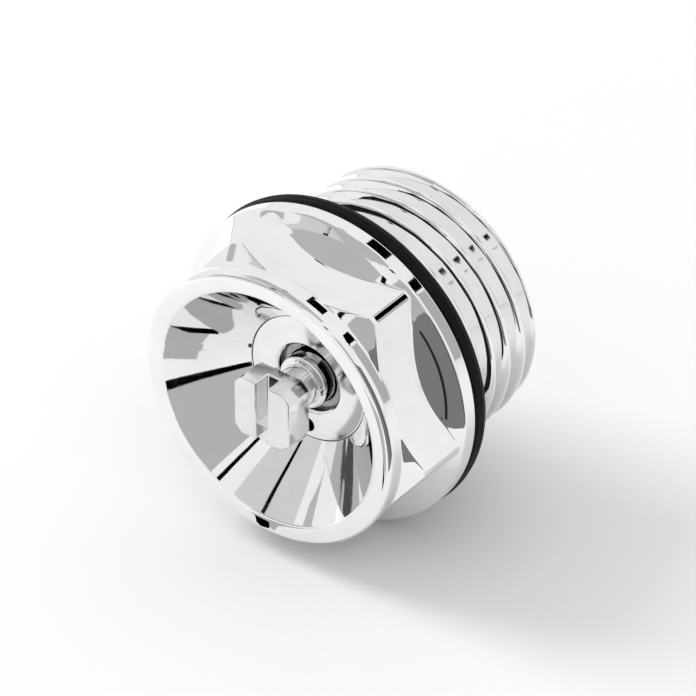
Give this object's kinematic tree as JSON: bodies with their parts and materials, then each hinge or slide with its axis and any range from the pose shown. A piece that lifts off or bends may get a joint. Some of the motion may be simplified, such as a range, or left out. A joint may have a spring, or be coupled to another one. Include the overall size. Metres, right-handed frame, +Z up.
{
  "type": "radiator air vent plug",
  "caption": "Hexagonal screw-in radiator plug with an O-ring and a dished front holding a key-operated bleed screw.",
  "frame": {"origin": "on the plug's axis, in the plane of the radiator face that the body seal bears on", "axes": "-Y out of the radiator towards the key, +Y along the threaded shank into the radiator, +Z up"},
  "size_m": [0.026, 0.0207, 0.026],
  "materials": {
    "plug_chrome": "bright chrome plate on brass",
    "seal_rubber": "smooth black EPDM",
    "insert_plated": "nickel plate on brass",
    "inner_rubber": "smooth black EPDM",
    "spring_steel": "bright spring steel",
    "screw_plated": "satin nickel plate on brass"
  },
  "bodies": {
    "plug": {"plug_body": "plug_chrome", "body_seal_ring": "seal_rubber", "vent_insert": "insert_plated", "insert_seal_ring": "inner_rubber", "retaining_ring": "spring_steel"},
    "seal_carrier": {"spindle_seal_ring": "inner_rubber"},
    "spindle": {"bleed_screw": "screw_plated", "tip_seal": "inner_rubber"}
  },
  "joints": [
    {"name": "screw_travel", "type": "slide", "parent": "plug", "child": "seal_carrier", "axis": [0, -1, 0], "range_m": [0, 0.0016]},
    {"name": "screw_turn", "type": "hinge", "parent": "seal_carrier", "child": "spindle", "pos_m": [0, 0, 0], "axis": [0, -1, 0], "range_deg": [0, 720]}
  ],
  "couplings": [
    {"joint": "screw_turn", "follows": "screw_travel", "rad_per_m": 7853.9}
  ]
}
